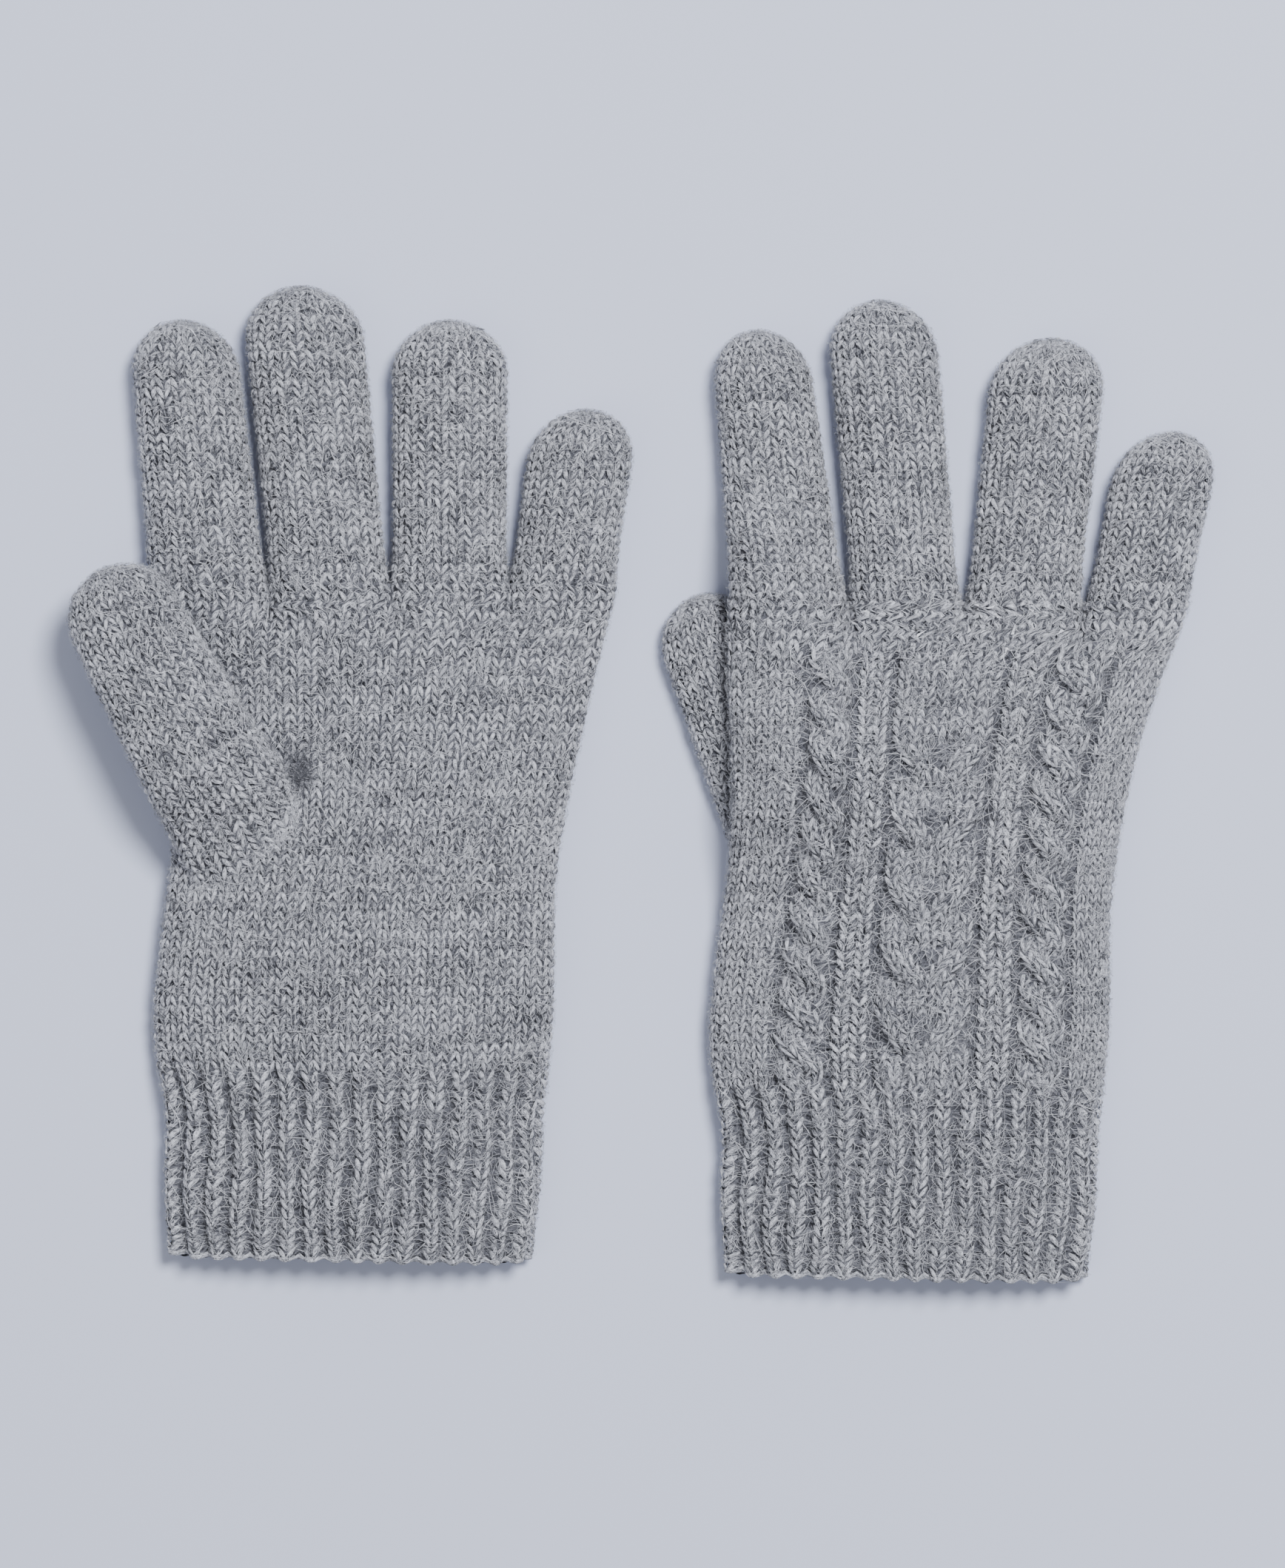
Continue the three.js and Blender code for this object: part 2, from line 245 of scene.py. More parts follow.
def leg(path, radius, squash=0.85):
    """One piece of yarn that lies on the face: a half tube along path, which is (x, y, height) in mm, with
    a radius at each point, squashed by a share in height. Returns its points and quads, and how far along
    and round the yarn each point is."""
    path = np.array(path, float)
    along = np.gradient(path[:, :2], axis=0)
    along /= np.linalg.norm(along, axis=1, keepdims=True)
    side = np.stack([along[:, 1], -along[:, 0]], axis=1)
    turn = np.radians([-20, 50, 130, 200])
    r = np.array(radius, float)[:, None]
    xy = path[:, None, :2] + side[:, None, :] * (np.cos(turn)[None, :, None] * r[..., None])
    h = path[:, None, 2] + np.sin(turn)[None, :] * r * squash
    points = np.concatenate([xy, h[..., None]], axis=-1).reshape(-1, 3)
    rows, cols = len(path), len(turn)
    i, j = np.meshgrid(np.arange(rows - 1), np.arange(cols - 1), indexing="ij")
    a = (i * cols + j).ravel()
    quads = np.stack([a, a + cols, a + cols + 1, a + 1], axis=1)
    step = np.concatenate([[0], np.cumsum(np.linalg.norm(np.diff(path[:, :2], axis=0), axis=1))])
    uv = np.stack(np.broadcast_arrays(step[:, None], (turn / np.pi)[None, :]), axis=-1).reshape(-1, 2)
    return points, quads, uv


def knit_legs():
    """The two legs of a knit stitch, right then left, which spread upwards from its foot in a V."""
    t = np.array([0, 0.22, 0.52, 0.80, 1.0])
    x = WALE * (0.05 + 0.40 * t)
    y = COURSE * (-0.62 + 1.26 * t)
    h = 0.65 * np.sin(np.pi * t) ** 0.7 - 0.58
    radius = [0.08, 0.38, 0.53, 0.45, 0.08]
    return [leg(np.stack([side * x, y, h], axis=1), radius) for side in (1, -1)]


def purl_bars():
    """The bar of a purl stitch, a low arch across the fabric."""
    t = np.linspace(-1, 1, 5)
    h = 0.30 * np.cos(np.pi * t / 2) - 0.45
    path = np.stack([WALE * 0.56 * t, COURSE * 0.16 * np.cos(np.pi * t), h], axis=1)
    return [leg(path, [0.3, 0.55, 0.62, 0.55, 0.3])]


KNIT = knit_legs()
PURL = purl_bars()
# the finishes of a piece, in the order of its materials: the yarn; a darker copy of it, which paints the
# shade on sunken yarn, on the backing and at the thumb's fork; and a somewhat darker copy, which paints shade
# on the inside
FACE, SHADED, INNER = 0, 1, 2
BACKING = -0.55  # the fabric behind the yarn, from the face of the cloth, mm
WALL = 2.0       # how far in the inside of the fabric is, mm
PRESSED = 1.5    # height below which the surface flattens the yarn, mm


class Fabric:
    """Collects the yarn and the backing of one piece, or its loose fibres, and turns them into one mesh."""

    def __init__(self, name):
        self.name = name
        self.points, self.quads, self.uv, self.knit, self.kind = [], [], [], [], []
        self.count = 0

    def add(self, points, quads, uv, knit, kind):
        self.points.append(points)
        self.quads.append(quads + self.count)
        self.uv.append(uv)
        self.knit.append(knit)
        self.kind.append(np.full(len(quads), kind))
        self.count += len(points)

    def stitches(self, cloth, shapes, a, s, wide, tall, warp=None, lift=0.0, kind=FACE):
        """One stitch of the given shapes at each (a, s), no two quite alike. wide is a stitch's share of the
        way across, and tall its height in mm. warp(a, s, h) moves the yarn's points, and lift raises them."""
        values = (a, s, wide, tall, lift)
        a, s, wide, tall, lift = (np.broadcast_to(v, np.shape(a)).astype(float)[:, None] for v in values)
        n = len(a)
        for points, quads, uv in shapes:
            tilt = rng.normal(0, 0.10, (n, 1))
            grow = rng.normal(1, 0.07, (n, 1))
            plump = rng.normal(1, 0.12, (n, 1))
            x = points[:, 0] * rng.normal(1, 0.07, (n, 1)) + tilt * points[:, 1]
            x = x + rng.normal(0, 0.08, (n, 1))
            y = points[:, 1] * grow + rng.normal(0, 0.10, (n, 1))
            h = points[:, 2] * plump + lift + rng.normal(0, 0.10, (n, 1))
            pa, ps, ph = a + x / WALE * wide, s + y / COURSE * tall, h
            if warp is not None:
                pa, ps, ph = warp(pa, ps, ph)
            where = cloth.at(pa.ravel(), ps.ravel(), ph.ravel())
            index = quads[None] + (np.arange(n) * len(points))[:, None, None]
            own = rng.uniform(0, 40, (n, 1))
            yarn = np.stack([uv[:, 0] + own, uv[:, 1] + own * 0.37], axis=-1)
            place = np.concatenate([a / wide, s / tall], axis=1) + rng.normal(0, 0.28, (n, 2))
            knit = np.repeat(place, len(points), axis=0)
            self.add(where, index.reshape(-1, 4), yarn.reshape(-1, 2), knit, kind)

    def backing(self, cloth, a, s, h, warp=None, wide=0.03):
        """A grid of cloth behind the yarn at shares a and lengths s, h mm out. wide is a stitch's share of
        the way across. The inside of the fabric, at -WALL, faces inwards."""
        aa, ss = np.meshgrid(a, s)
        hh = np.full(aa.shape, float(h))
        if warp is not None:
            aa, ss, hh = warp(aa, ss, hh)
        where = cloth.at(aa.ravel(), ss.ravel(), hh.ravel())
        rows, cols = len(s), len(a)
        i, j = np.meshgrid(np.arange(rows - 1), np.arange(cols - 1), indexing="ij")
        k = (i * cols + j).ravel()
        quads = np.stack([k, k + 1, k + cols + 1, k + cols], axis=1)
        inner = h == -WALL
        if inner:
            quads = quads[:, ::-1]
        uv = np.stack([aa.ravel() * 90, ss.ravel() * 0.3], axis=-1)
        knit = np.stack([aa.ravel() / wide, ss.ravel() / COURSE], axis=-1)
        # painted shade: the backing takes the darker yarn, and the inside the somewhat darker one
        self.add(where, quads, uv, knit, INNER if inner else SHADED)

    def fibres(self, cloth, density, low, high, h=0.35, long=3.8, warp=None, kind=FACE, span=(0, 1)):
        """Loose fibres from low to high mm and over a span of shares across, density of them to the square
        millimetre: narrow curved ribbons that lie over the face every way, with their ends in the yarn and
        their middles standing off it."""
        n = int(density * cloth.around((low + high) / 2) * (span[1] - span[0]) * (high - low))
        a, s = rng.uniform(*span, (n, 1)), rng.uniform(low, high, (n, 1))
        t = np.linspace(-0.5, 0.5, 4)[None]
        step = long * rng.lognormal(0, 0.45, (n, 1)) / 3
        angle = rng.uniform(0, 2 * np.pi, (n, 1)) + rng.normal(0, 1.3, (n, 1)) * t
        x = np.cumsum(np.cos(angle), axis=1) * step
        y = np.cumsum(np.sin(angle), axis=1) * step
        rise = rng.normal(0.0, 0.5, (n, 1)) * t + rng.uniform(0.1, 0.8, (n, 1)) * (1 - (2 * t) ** 2)
        half = rng.uniform(0.020, 0.042, (n, 1)) * np.array([[0.5, 1, 1, 0.4]])
        points = []
        for side in (-1, 1):
            pa = a + (x - side * np.sin(angle) * half) / cloth.around(s)
            ps = s + y + side * np.cos(angle) * half
            ph = h + rise
            if warp is not None:
                pa, ps, ph = warp(pa, ps, ph)
            points.append(cloth.at(pa.ravel(), ps.ravel(), ph.ravel()).reshape(n, 4, 3))
        where = np.stack(points, axis=2).reshape(-1, 3)
        base = (np.arange(n) * 8)[:, None] + np.array([[0, 2, 4]])
        quads = (base[..., None] + np.array([0, 2, 3, 1])).reshape(-1, 4)
        own = np.repeat(rng.uniform(0, 40, (n, 2)), 8, axis=0)
        self.add(where, quads, own, own, kind)

    def mesh(self, materials):
        """The finished piece. The surface the glove lies on flattens what is below PRESSED: its height z
        becomes PRESSED e^(z / PRESSED - 1)."""
        points = np.concatenate(self.points)
        low = points[:, 2] < PRESSED
        points[low, 2] = PRESSED * np.exp(points[low, 2] / PRESSED - 1)
        points *= MM
        quads = np.concatenate(self.quads).astype(np.int32)
        me = bpy.data.meshes.new(self.name)
        me.vertices.add(len(points))
        me.vertices.foreach_set("co", points.astype(np.float32).ravel())
        me.loops.add(quads.size)
        me.loops.foreach_set("vertex_index", quads.ravel())
        me.polygons.add(len(quads))
        me.polygons.foreach_set("loop_start", np.arange(0, quads.size, 4, dtype=np.int32))
        me.polygons.foreach_set("material_index", np.concatenate(self.kind).astype(np.int32))
        me.polygons.foreach_set("use_smooth", np.ones(len(quads), bool))
        for title, values in (("yarn", self.uv), ("knit", self.knit)):
            layer = me.uv_layers.new(name=title)
            layer.data.foreach_set("uv", np.concatenate(values)[quads.ravel()].astype(np.float32).ravel())
        for material in materials:
            me.materials.append(material)
        me.update()
        me.validate()
        piece = bpy.data.objects.new(self.name, me)
        bpy.context.scene.collection.objects.link(piece)
        return piece


def melange_group():
    """Fibres of several greys spun together: streaks along the yarn, a tone for each leg, and slow bands
    along the courses. Height is the fibres' relief."""
    group = bpy.data.node_groups.new("melange", "ShaderNodeTree")
    for name, way, kind in (("Yarn", "INPUT", "Vector"), ("Knit", "INPUT", "Vector"),
                            ("Dark", "INPUT", "Color"), ("Light", "INPUT", "Color"),
                            ("Color", "OUTPUT", "Color"), ("Height", "OUTPUT", "Float")):
        group.interface.new_socket(name=name, in_out=way, socket_type=f"NodeSocket{kind}")
    nodes, link = group.nodes, group.links.new
    given, out = nodes.new("NodeGroupInput"), nodes.new("NodeGroupOutput")

    def noise(name, stretch, scale, detail):
        """Noise over one of the group's inputs, from 0 to 1."""
        scaled = nodes.new("ShaderNodeVectorMath")
        scaled.operation = "MULTIPLY"
        scaled.inputs[1].default_value = stretch
        link(given.outputs[name], scaled.inputs[0])
        tex = nodes.new("ShaderNodeTexNoise")
        tex.inputs["Scale"].default_value = scale
        tex.inputs["Detail"].default_value = detail
        tex.inputs["Roughness"].default_value = 0.6
        link(scaled.outputs[0], tex.inputs["Vector"])
        return tex.outputs["Fac"]

    def mixed(parts):
        """0.5 plus the sum of weight (value - 0.5)."""
        total = None
        for value, weight in parts:
            scaled = nodes.new("ShaderNodeMath")
            scaled.operation = "MULTIPLY_ADD"
            scaled.inputs[1].default_value = weight
            link(value, scaled.inputs[0])
            if total is None:
                scaled.inputs[2].default_value = 0.5 - sum(w for _, w in parts) * 0.5
            else:
                link(total, scaled.inputs[2])
            total = scaled.outputs[0]
        return total

    streaks = noise("Yarn", (1.0, 3.6, 1.0), 0.9, 2.0)
    fine = noise("Yarn", (1.0, 4.0, 1.0), 2.2, 1.0)
    leg_tone = noise("Knit", (1.0, 1.0, 1.0), 1.3, 1.0)
    bands = noise("Knit", (0.11, 0.55, 1.0), 1.0, 2.0)
    blend = nodes.new("ShaderNodeMix")
    blend.data_type = "RGBA"
    link(mixed([(streaks, 2.8), (fine, 2.2), (leg_tone, 1.4), (bands, 1.3)]), blend.inputs["Factor"])
    link(given.outputs["Dark"], blend.inputs["A"])
    link(given.outputs["Light"], blend.inputs["B"])
    link(blend.outputs["Result"], out.inputs["Color"])
    link(mixed([(streaks, 0.6), (fine, 0.7)]), out.inputs["Height"])
    return group


MELANGE = melange_group()


def wool(name, dark, light, bump):
    """The yarn's finish: matt, with a soft bloom at grazing angles, and grey fibres from dark to light."""
    mat = bpy.data.materials.new(name)
    mat.use_nodes = True
    nodes, link = mat.node_tree.nodes, mat.node_tree.links.new
    shader = nodes["Principled BSDF"]
    shader.inputs["Roughness"].default_value = 0.92
    shader.inputs["Specular IOR Level"].default_value = 0.22
    shader.inputs["Sheen Weight"].default_value = 0.25
    shader.inputs["Sheen Roughness"].default_value = 0.55
    group = nodes.new("ShaderNodeGroup")
    group.node_tree = MELANGE
    group.inputs["Dark"].default_value = dark
    group.inputs["Light"].default_value = light
    for title, target in (("yarn", "Yarn"), ("knit", "Knit")):
        uv = nodes.new("ShaderNodeUVMap")
        uv.uv_map = title
        link(uv.outputs["UV"], group.inputs[target])
    link(group.outputs["Color"], shader.inputs["Base Color"])
    if bump:
        relief = nodes.new("ShaderNodeBump")
        relief.inputs["Strength"].default_value = bump
        relief.inputs["Distance"].default_value = 0.00025
        link(group.outputs["Height"], relief.inputs["Height"])
        link(relief.outputs["Normal"], shader.inputs["Normal"])
    return mat


YARN = wool("melange yarn", (0.034, 0.036, 0.048, 1), (0.76, 0.77, 0.85, 1), 1.0)
# painted shade: a darker copy of the yarn, for yarn that lies deep or behind the face
YARN_IN_SHADE = wool("yarn painted in shade", (0.030, 0.031, 0.040, 1), (0.16, 0.163, 0.19, 1), 0)
# painted shade: the same yarn on the inside of the fabric, made somewhat darker than the face
INSIDE_IN_SHADE = wool("inside of the fabric", (0.07, 0.072, 0.085, 1), (0.55, 0.555, 0.60, 1), 0)
FUZZ = wool("loose fibres", (0.12, 0.124, 0.15, 1), (0.90, 0.91, 0.98, 1), 0)

RIBS = 32
RIB_HIGH = 1.2   # how far the ribs swell out and the valleys sink, mm
RIB_COURSE = 2.3  # height of a stitch of ribbing, mm
RIB_EVEN = 0.35  # how far valleys this deep draw the whole rib in, mm
LIP = 2.4        # the stretch of ribbing that rolls under at the hem, mm
RAISED = 2.1     # how far the hem is drawn up, with these three added to it, mm
CORNER = 1.0     # more at the two sides of the cuff
SCALLOP = 0.4    # less at a rib and more at a valley
SLANT = 0.7      # more on the left and less on the right
SWAY = 0.09      # how far a rib wanders sideways, in ribs
ROLL_LONG, ROLL_DEEP = 0.9, 1.4  # how far the rolled hem reaches out and in, mm
RUN_ON = 4       # how far a cloth goes on past its piece, so that its outer stitches keep their shape, mm


def rib_relief(x, s):
    """RIB_HIGH (1 - 2 |sin(pi x)|^3) - RIB_EVEN out from the cloth, where x counts ribs from a rib's middle.
    It eases off where the ribbing turns into plain knit."""
    wave = 1 - 2 * np.abs(np.sin(np.pi * x)) ** 3
    return (RIB_HIGH * wave - RIB_EVEN) * (1 - smooth(CUFF_TOP - 6, CUFF_TOP + 8, s))


def ribbed(a, s, h):
    """Shapes the cloth into ribs that sway like sin(s / 6). Below 0 it rolls under on a quarter turn."""
    x = a * RIBS - 0.25
    roll = np.clip(-s / LIP, 0, 1) * np.pi / 2
    side = np.abs((a + 0.25) % 0.5 - 0.25)
    corner = CORNER * np.exp(-((side / 0.025) ** 2))
    drawn = corner - SCALLOP * np.cos(2 * np.pi * x) + RAISED - SLANT * np.cos(2 * np.pi * a)
    along = np.where(s < 0, -ROLL_LONG * np.sin(roll), s) + drawn * (1 - smooth(0, 9, s))
    sway = SWAY / RIBS * np.sin(s / 6 + 12 * np.pi * a) * (1 - smooth(CUFF_TOP - 12, CUFF_TOP, s))
    return a + sway, along, h + rib_relief(x, s) - ROLL_DEEP * (1 - np.cos(roll))


def fasten(pieces, node, slot, *bodies, start=None, end=None):
    """The yarn and the loose fibres ride on the first body or, when a start is given, on no body,
    kept where they are; and the yarn takes the place of its node. end is not used."""
    for piece in pieces:
        if start is None:
            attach(piece, bodies[0])
        else:
            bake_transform(piece)
    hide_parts(node)


for glove in ("left", "right"):
    y = np.linspace(-RUN_ON, CUFF_TOP + RUN_ON, 60)
    cloth = hand_cloth(glove, y, np.linspace(2 * np.pi, 0, 361), closed=True)
    knit = Fabric(f"{glove}_cuff_knit")
    rows = np.arange(-0.5, CUFF_TOP / RIB_COURSE) * RIB_COURSE
    a, s = np.meshgrid((np.arange(RIBS) + 0.25) / RIBS, rows)
    a, s = a.ravel(), s.ravel()
    knit.stitches(cloth, KNIT, a, s, 0.69 / RIBS, RIB_COURSE, ribbed, 0.15)
    # painted shade: the purl columns deep in the valleys take the darker yarn
    knit.stitches(cloth, PURL, a + 0.5 / RIBS, s, 0.34 / RIBS, RIB_COURSE, ribbed, kind=SHADED)
    # the loops of the cast-on edge, which lie along it in three rows
    loops = (np.arange(2 * RIBS) + 0.5) / (2 * RIBS)
    for low in (-2.0, -1.2, -0.4):
        knit.stitches(cloth, PURL, loops, np.full(2 * RIBS, low), 0.60 / RIBS, RIB_COURSE, ribbed, 0.25)
    across = np.linspace(0, 1, RIBS * 6 + 1)
    for h in (BACKING, -WALL):
        knit.backing(cloth, across, np.linspace(-LIP if h == BACKING else 0, CUFF_TOP + 1, 26), h, ribbed)
    fuzz = Fabric(f"{glove}_cuff_fuzz")
    fuzz.fibres(cloth, 1.1, -1, CUFF_TOP, 0.45, warp=ribbed)
    pieces = (knit.mesh([YARN, YARN_IN_SHADE, INSIDE_IN_SHADE]), fuzz.mesh([FUZZ]))
    fasten(pieces, f"{glove}_cuff", "rib_knit", f"{glove}_hand")

# ---------------------------------------------------------------------------------------------
# Palms: plain knit, every stitch a V, from the top of the rib to the foot of the fingers. They
# are knitted in one with the cuff, and meet the backs along the sides of the hand.
# ---------------------------------------------------------------------------------------------
WALES = RIBS  # across each half, so that ribs and valleys both run on as plain wales


def half_of_hand(glove, side):
    """The upper or lower half of the hand's cloth, whichever that side of the glove is, with the last of
    the ribs' relief. A rib's middle is a quarter of a rib from each side of the hand."""
    upper = (glove == "left") == (side == "palm")
    angles = np.linspace(np.pi, 0, 261) if upper else np.linspace(2 * np.pi, np.pi, 261)
    y = np.linspace(CUFF_TOP - RUN_ON, KNUCKLE + RUN_ON, 160)
    cloth = hand_cloth(glove, y, angles)
    relief = rib_relief(cloth.share * RIBS / 2 - 0.25, y[:, None])
    cloth.grid = cloth.grid + cloth.normal * relief[..., None]
    return cloth


def plain(knit, cloth, across, low, high):
    """Plain knit with across stitches from low to high mm."""
    rows = round((high - low) / COURSE)
    tall = (high - low) / rows
    a, s = np.meshgrid((np.arange(across) + 0.5) / across, low + (np.arange(rows) + 0.5) * tall)
    knit.stitches(cloth, KNIT, a.ravel(), s.ravel(), 1 / across, tall)


FORK_ALONG = (113, 120)      # where the left thumb's fork is along the palm, mm
FORK_ACROSS = (0.31, 0.355)  # and across it, as shares

for glove in ("left", "right"):
    cloth = half_of_hand(glove, "palm")
    knit = Fabric(f"{glove}_palm_knit")
    plain(knit, cloth, WALES, CUFF_TOP, KNUCKLE)
    for h in (BACKING, -WALL):
        knit.backing(cloth, np.linspace(0, 1, 80), np.linspace(CUFF_TOP, KNUCKLE, 60), h)
    fuzz = Fabric(f"{glove}_palm_fuzz")
    fuzz.fibres(cloth, 1.0, CUFF_TOP, KNUCKLE)
    # painted shade: a tuft of fibres in the darker yarn where the thumb leaves the palm, standing for the
    # shade in the fold there
    if glove == "left":
        fuzz.fibres(cloth, 14, *FORK_ALONG, 0.7, 2.0, kind=SHADED, span=FORK_ACROSS)
    pieces = (knit.mesh([YARN, YARN_IN_SHADE, INSIDE_IN_SHADE]), fuzz.mesh([FUZZ, YARN_IN_SHADE]))
    fasten(pieces, f"{glove}_palm", "plain_knit", f"{glove}_hand")

# ---------------------------------------------------------------------------------------------
# Backs: a rope, two plain wales, a wide horseshoe cable, two plain wales and another rope, each
# set off by a sunken purl column, in a darker yarn that paints its shade. The panel leans with the
# hand, and ends below the knuckles.
# ---------------------------------------------------------------------------------------------
PANEL = (CUFF_TOP, 149.0)
# where each purl column is at the foot and the head of the panel, as a part of the hand's width
COLUMNS = [(0.153, 0.177), (0.290, 0.290), (0.401, 0.384), (0.655, 0.634), (0.760, 0.737), (0.894, 0.877)]
PURL_WIDE = 2.1  # mm
SUNK = 1.35      # how deep the purl columns lie, mm
ROUND = 1.3      # how much a strand rounds up between its edges, mm
UNDER = 0.85     # how deep a strand goes under, as a share of how high it goes over
PROUD = 0.45     # how far the pairs of plain wales stand out, mm
SPREAD = 0.30    # half width of a strand as a share of its cable's width
ROPE = dict(start=50.2, period=9.7, rest=0.0, rise=1.5)
HORSESHOE = dict(start=53.8, period=15.9, rest=0.25, rise=1.9, last=133.0)


def fading(s):
    """1 over the panel, falling to 0 at its two ends."""
    return smooth(PANEL[0], PANEL[0] + 5, s) * (1 - smooth(PANEL[1] - 5, PANEL[1], s))


def strand(s, turn, start, period, rest, rise, last=None):
    """Where a cable's strand lies, s mm from the hem: aside as a share of the cable's width, and up in mm.
    They are cos and sin of pi (n + t), half a turn in each period n, which ends with a straight rest. Where
    it goes under, it is UNDER times as deep. There are no turns past last."""
    turned = s if last is None else np.minimum(s, last)
    n, part = np.divmod((turned - start) / period, 1.0)
    angle = np.pi * (n + np.minimum(part / (1 - rest), 1) + turn)
    up = rise * np.sin(angle) * fading(s)
    return np.cos(angle) / 4, np.maximum(up, UNDER * up)


def cable(knit, cloth, middle, wide, hand, style):
    """Two strands of two wales each that pass over one another. middle(s) and wide(s) are shares of the
    cloth, and hand is 1 where the upper strand climbs towards share 0, and -1 where it climbs towards
    share 1."""
    rows = round((PANEL[1] - PANEL[0]) / COURSE)
    tall = (PANEL[1] - PANEL[0]) / rows
    s = np.repeat(PANEL[0] + (np.arange(rows) + 0.5) * tall, 2)
    wale = np.tile([-SPREAD / 2, SPREAD / 2], rows)
    for turn in (0, 1):
        def warp(pa, ps, ph, turn=turn):
            """Lays the strand's own cross rows square to the way it runs."""
            aside, up = strand(ps, turn, **style)
            off = pa - middle(ps)
            across = wide(ps) * cloth.around(ps)
            ahead, behind = (strand(ps + step, turn, **style)[0] for step in (0.5, -0.5))
            slope = hand * (ahead - behind) * across
            cos = 1 / np.sqrt(1 + slope**2)
            local = np.clip(off / (wide(ps) * SPREAD), -1, 1)
            bulge = ROUND * np.cos(local * np.pi / 2) * smooth(-1.2, 0.3, up) * fading(ps)
            lean = off * cloth.around(ps) * slope * cos
            return middle(ps) + hand * aside * wide(ps) + off * cos, ps - 0.7 * lean, ph + up + bulge

        knit.stitches(cloth, KNIT, middle(s) + wale * wide(s), s, wide(s) * SPREAD, tall, warp)


def cable_height(a, s, middle, wide, hand, style):
    """How high the strands lift the backing at share a, s mm from the hem."""
    top = np.zeros(a.shape)
    for turn in (0, 1):
        aside, up = strand(s, turn, **style)
        local = (a - middle(s) - hand * aside * wide(s)) / (wide(s) * SPREAD)
        over = (up + ROUND * np.cos(local * np.pi / 2) * fading(s)) * (up > -0.2) * (np.abs(local) < 1)
        top = np.maximum(top, over)
    return top


for glove in ("left", "right"):
    cloth = half_of_hand(glove, "back")
    knit = Fabric(f"{glove}_back_knit")
    sample = np.linspace(*PANEL, 60)
    lean = smooth(60, 145, sample)
    lines = [cloth.across(foot + (head - foot) * lean, sample) for foot, head in COLUMNS]
    hand = 1 if lines[1][0] > lines[0][0] else -1
    line = [lambda s, v=v: np.interp(s, sample, v) for v in lines[::hand]]

    def purl(s):
        """The width of a purl column as a share of the cloth."""
        return PURL_WIDE / cloth.around(s)

    low = [lambda s, f=f: f(s) - purl(s) / 2 for f in line]
    high = [lambda s, f=f: f(s) + purl(s) / 2 for f in line]
    rows = round((PANEL[1] - PANEL[0]) / COURSE)
    tall = (PANEL[1] - PANEL[0]) / rows
    s = PANEL[0] + (np.arange(rows) + 0.5) * tall
    # plain wales between the edges and the panel, and in the two columns
    edge = (lambda s: s * 0.0, lambda s: s * 0.0 + 1.0)
    stretches = ((edge[0], low[0], 6), (high[1], low[2], 2), (high[3], low[4], 2), (high[5], edge[1], 6))
    for start, end, wales in stretches:
        wide = (end(s) - start(s)) / wales
        for k in range(wales):
            lift = PROUD if wales == 2 else 0.0
            knit.stitches(cloth, KNIT, start(s) + (k + 0.5) * wide, s, wide, tall, lift=lift)
    # painted shade: the sunken purl columns take the darker yarn
    for f in line:
        knit.stitches(cloth, PURL, f(s), s, purl(s) * 0.8, tall, lift=-SUNK, kind=SHADED)
    # two ropes, and the horseshoe's two halves, which open away from its middle
    cables = []
    for a, b in ((high[0], low[1]), (high[4], low[5])):
        cables.append((lambda s, a=a, b=b: (a(s) + b(s)) / 2, lambda s, a=a, b=b: b(s) - a(s), hand, ROPE))
    for part, way in ((0.25, 1), (0.75, -1)):
        cables.append((lambda s, part=part: high[2](s) + part * (low[3](s) - high[2](s)),
                       lambda s: (low[3](s) - high[2](s)) / 2, way, HORSESHOE))
    for item in cables:
        cable(knit, cloth, *item)

    def lifted(a, s, h):
        """Follows the strands up and the purl columns down, except on the inside."""
        top = np.zeros(a.shape)
        for item in cables:
            top = np.maximum(top, cable_height(a, s, *item))
        for f in line:
            top -= SUNK * np.exp(-(((a - f(s)) / (purl(s) * 0.5)) ** 2)) * (s < PANEL[1])
        return a, s, h + top

    knit.backing(cloth, np.linspace(0, 1, 130), np.linspace(CUFF_TOP, KNUCKLE, 100), BACKING, lifted)
    knit.backing(cloth, np.linspace(0, 1, 63), np.linspace(CUFF_TOP, KNUCKLE, 40), -WALL)
    plain(knit, cloth, WALES, PANEL[1], KNUCKLE)
    fuzz = Fabric(f"{glove}_back_fuzz")
    fuzz.fibres(cloth, 1.4, CUFF_TOP, KNUCKLE, 0.4, warp=lifted)
    pieces = (knit.mesh([YARN, YARN_IN_SHADE, INSIDE_IN_SHADE]), fuzz.mesh([FUZZ]))
    fasten(pieces, f"{glove}_back", "cable_knit", f"{glove}_hand")

# ---------------------------------------------------------------------------------------------
# Fingers: plain knit tubes of 18 wales. Each is in two lengths, which meet at the middle joint.
# Near the tip every second wale ends, and the last ones are drawn together.
# ---------------------------------------------------------------------------------------------
TUBE_WALES = 18
TIP = 13       # the length over which a tip narrows, mm
BEND = 13      # how far past a joint the stretch given to fasten ends, mm
SLIM = 0.6     # how much narrower on each side a tube gets just past its foot, mm
TIP_UP = 0.36  # how high up its thickness a tube's very end is, as a share
NARROW = 0.6   # the least width of a stitch, in wales
LEAST = 1.5    # the least girth that is knitted round, in wales
JOINT = {joint["name"]: joint for joint in frame["joints"]}


def tube_rows(length, low):
    """Distances along a tube's axis, closer together round its tip, and how far through the tip each is,
    from 0 to 1."""
    d = np.linspace(low, length - TIP, 110)
    d = np.concatenate([d, length - TIP + TIP * np.sin(np.linspace(0, np.pi / 2, 46)[1:])])
    return d, np.clip((d - length + TIP) / TIP, 0, 1)


